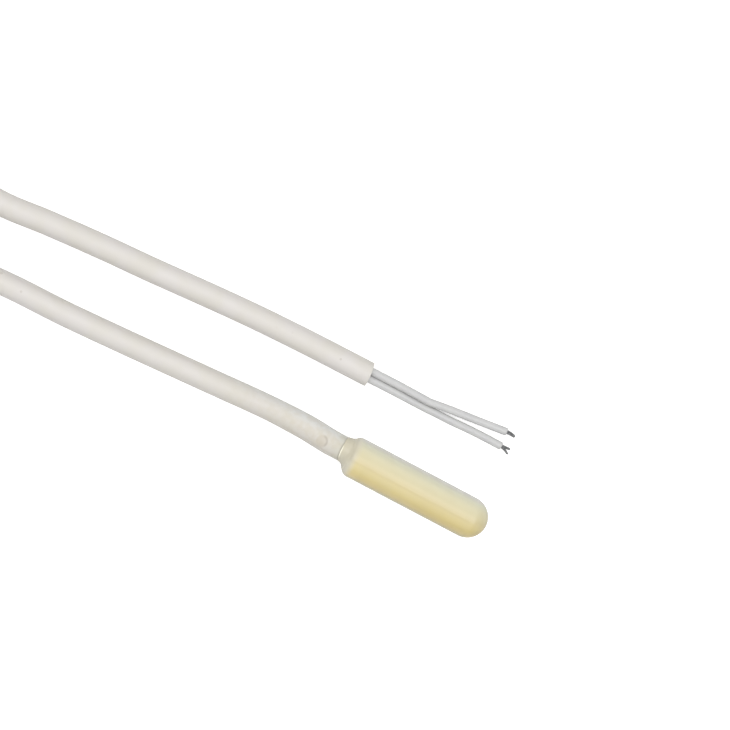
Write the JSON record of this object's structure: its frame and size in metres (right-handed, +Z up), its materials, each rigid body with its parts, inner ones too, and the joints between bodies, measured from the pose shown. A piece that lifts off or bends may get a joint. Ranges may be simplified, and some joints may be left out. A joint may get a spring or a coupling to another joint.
{
  "type": "cable temperature sensor",
  "caption": "Round-nosed overmoulded probe head with a flared shoulder on a round off-white two-core cable with stripped ends; the spare length is a tied hank.",
  "frame": {"origin": "below the middle of the probe head's length, on the surface that the head lies on", "axes": "+X along the head's axis towards its round nose, +Z up from the surface, +Y towards the stripped end of the cable, which lies beside the head"},
  "size_m": [0.166, 0.0314, 0.018],
  "materials": {
    "overmould": "satin",
    "capsule": "satin",
    "resin": "satin",
    "chip": "matte",
    "bead": "gloss",
    "tinned_wire": "satin",
    "solder": "gloss",
    "sleeve": "satin",
    "cable_jacket": "satin",
    "wire_insulation": "satin",
    "tinned_strand": "satin",
    "tie": "satin"
  },
  "bodies": {
    "root": {"outer_overmould": "overmould", "capsule": "capsule", "potting_resin": "resin", "thermistor_chip": "chip", "bead_coating": "bead", "thermistor_lead_a": "tinned_wire", "thermistor_lead_b": "tinned_wire", "lead_sleeve_a": "sleeve", "lead_sleeve_b": "sleeve", "solder_joint_a": "solder", "solder_joint_b": "solder", "joint_sleeve_a": "sleeve", "joint_sleeve_b": "sleeve", "inner_conductor_a": "tinned_wire", "inner_conductor_b": "tinned_wire", "inner_insulation_a": "wire_insulation", "inner_insulation_b": "wire_insulation", "cable_head_run": "cable_jacket", "cable_hank": "cable_jacket", "hank_tie": "tie", "cable_tail_run": "cable_jacket", "wire_insulation_a": "wire_insulation", "wire_insulation_b": "wire_insulation", "strand_a1": "tinned_strand", "strand_a2": "tinned_strand", "strand_a3": "tinned_strand", "strand_a4": "tinned_strand", "strand_a5": "tinned_strand", "strand_a6": "tinned_strand", "strand_a7": "tinned_strand", "strand_b1": "tinned_strand", "strand_b2": "tinned_strand", "strand_b3": "tinned_strand", "strand_b4": "tinned_strand", "strand_b5": "tinned_strand", "strand_b6": "tinned_strand", "strand_b7": "tinned_strand"}
  },
  "joints": []
}
